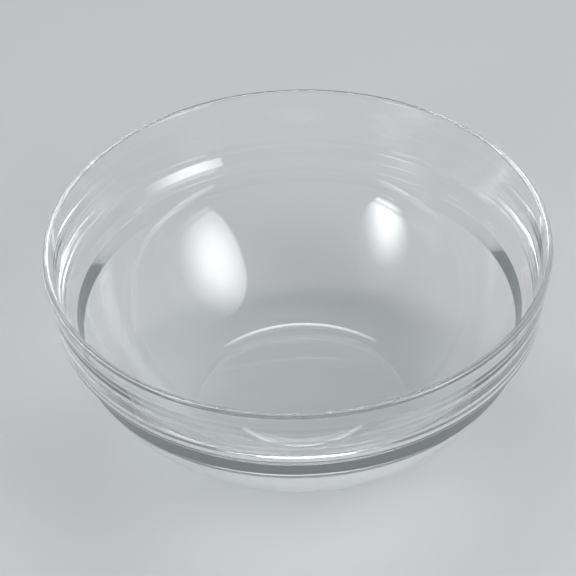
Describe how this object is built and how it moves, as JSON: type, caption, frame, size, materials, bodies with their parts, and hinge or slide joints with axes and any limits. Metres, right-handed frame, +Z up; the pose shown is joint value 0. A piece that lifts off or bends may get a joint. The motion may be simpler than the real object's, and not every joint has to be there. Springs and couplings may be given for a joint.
{
  "type": "prep bowl",
  "caption": "Round stacking prep bowl of clear pressed glass with a tiered collar, a stacking shoulder, a curved body and a flat foot ring.",
  "frame": {"origin": "middle of the foot's face, on the surface that the bowl stands on", "axes": "+Z up along the bowl's axis of revolution, towards the mouth; X and Y are any two square directions, as the bowl is round"},
  "size_m": [0.14, 0.14, 0.06],
  "materials": {
    "clear_glass": "clear colourless pressed and tempered glass, fire-polished smooth and glossy all over"
  },
  "bodies": {
    "root": {"bowl": "clear_glass"}
  },
  "joints": []
}
